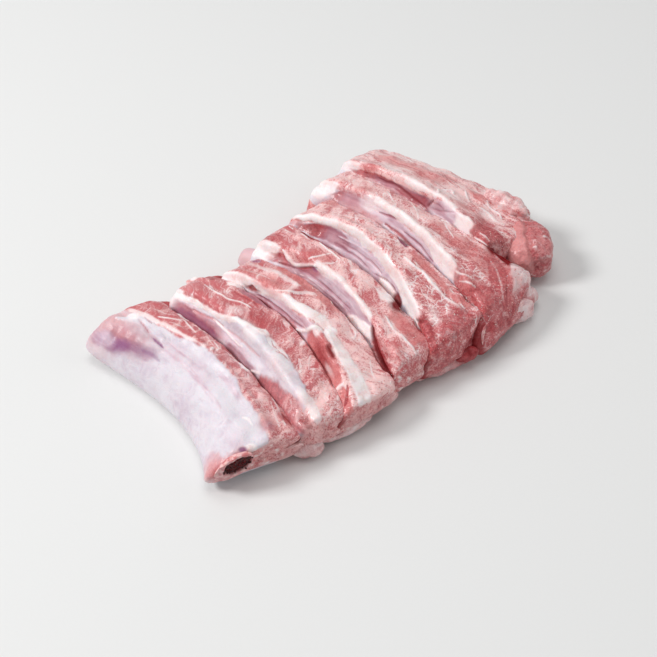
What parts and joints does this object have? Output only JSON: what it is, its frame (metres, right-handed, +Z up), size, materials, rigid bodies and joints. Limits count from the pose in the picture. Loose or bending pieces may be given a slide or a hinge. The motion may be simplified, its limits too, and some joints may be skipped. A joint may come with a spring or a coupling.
{
  "type": "raw rack of ribs",
  "caption": "Raw pork rib rack lying bone side up: deep slits between leaning ribs, membrane over curved bones that show at the cut ends, and a rounded muscle at one corner.",
  "frame": {"origin": "bottom centre of the rack's bounding box, on the surface it rests on", "axes": "+X across the ribs from the widest membrane face to the rounded muscle, +Y along the ribs towards their uncut far ends, +Z up out of the bone side"},
  "size_m": [0.2184, 0.1308, 0.0344],
  "materials": {
    "meat": "moist raw pork: pale pink lean with white fat and marbling, and a thin lilac-white membrane",
    "bone": "raw bone, greyish pink at the rim with dark red marrow where it is cut"
  },
  "bodies": {
    "root": {"rack_meat": "meat", "bone_1": "bone", "bone_2": "bone", "bone_3": "bone", "bone_4": "bone", "bone_5": "bone", "bone_6": "bone", "bone_7": "bone"}
  },
  "joints": []
}
